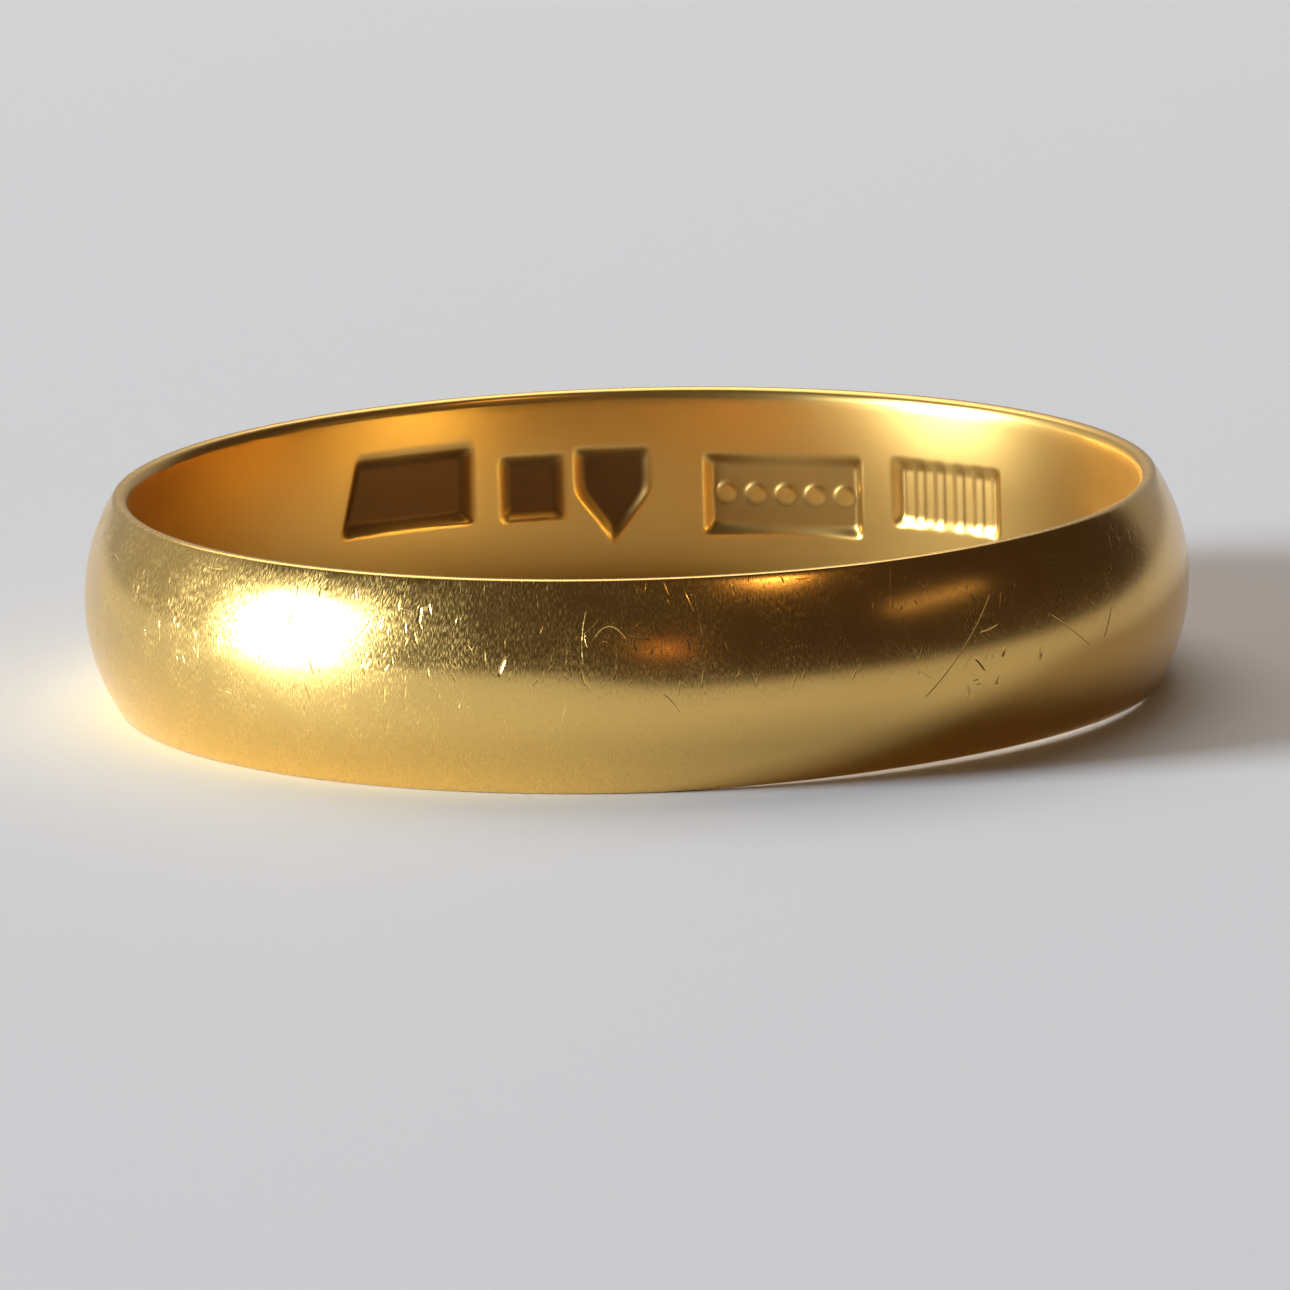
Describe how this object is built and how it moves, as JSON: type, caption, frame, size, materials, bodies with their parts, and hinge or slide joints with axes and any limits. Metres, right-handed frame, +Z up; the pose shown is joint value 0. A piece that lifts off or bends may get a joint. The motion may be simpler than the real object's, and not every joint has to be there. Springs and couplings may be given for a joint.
{
  "type": "wedding band",
  "caption": "Plain gold wedding band: a D-section wire bent into a ring, domed outside and flat inside, with blank punch marks in the bore.",
  "frame": {"origin": "centre of the lower rim, on the bore axis, on the surface the band rests on", "axes": "+Z up along the bore axis; -Y is the front, the punch marks are at the back (+Y) and the soldered joint is on the right (+X)"},
  "size_m": [0.0208, 0.0208, 0.004],
  "materials": {
    "yellow_gold": "polished gold, worn, with fine scratches",
    "gold_solder": "polished gold solder, a shade paler"
  },
  "bodies": {
    "root": {"band": "yellow_gold", "solder_seam": "gold_solder"}
  },
  "joints": []
}
